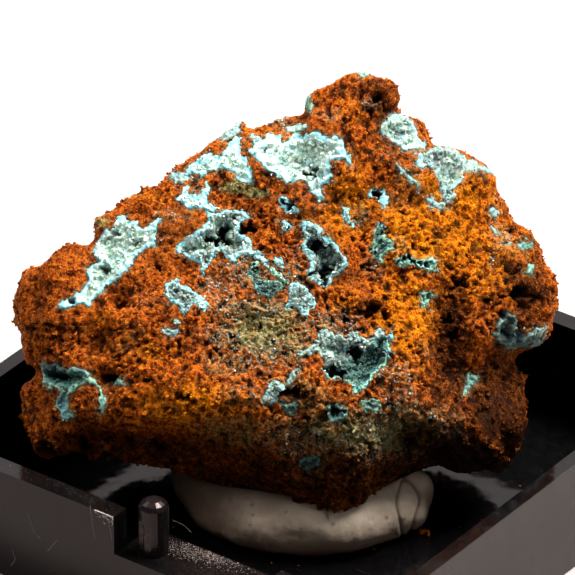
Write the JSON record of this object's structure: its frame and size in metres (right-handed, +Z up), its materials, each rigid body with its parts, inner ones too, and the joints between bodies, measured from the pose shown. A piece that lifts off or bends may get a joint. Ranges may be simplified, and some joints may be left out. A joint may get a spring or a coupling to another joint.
{
  "type": "senegalite mineral specimen",
  "caption": "Rusty porous limonite lump with pale green senegalite crystal druses in turquoise-rimmed pockets, set on grey putty in a shallow black plastic tray.",
  "frame": {"origin": "middle of the tray's underside", "axes": "+Z up; +X along the tray's notched front wall; -Y out of that front wall"},
  "size_m": [0.036, 0.036, 0.0277],
  "materials": {
    "tray_plastic": "glossy black injection-moulded plastic, lightly dusted and scratched",
    "putty": "matt grey-beige mineral putty, finger-rolled",
    "limonite": "earthy, porous, rust-brown to ochre-orange",
    "senegalite_druse": "glassy pale green crystals on a turquoise-white crust",
    "pale_druse": "glassy grey-white granular crystals"
  },
  "bodies": {
    "root": {"tray": "tray_plastic", "putty": "putty", "matrix": "limonite", "druse_top_center": "senegalite_druse", "druse_top_left": "senegalite_druse", "druse_upper_left": "senegalite_druse", "druse_left": "senegalite_druse", "druse_mid_left": "senegalite_druse", "druse_squiggle": "senegalite_druse", "druse_mid_right": "senegalite_druse", "druse_right_top": "pale_druse", "druse_right_upper": "pale_druse", "druse_center": "senegalite_druse", "druse_patch_left": "senegalite_druse", "druse_lower": "senegalite_druse", "druse_low_left": "senegalite_druse", "druse_right": "pale_druse"}
  },
  "joints": []
}
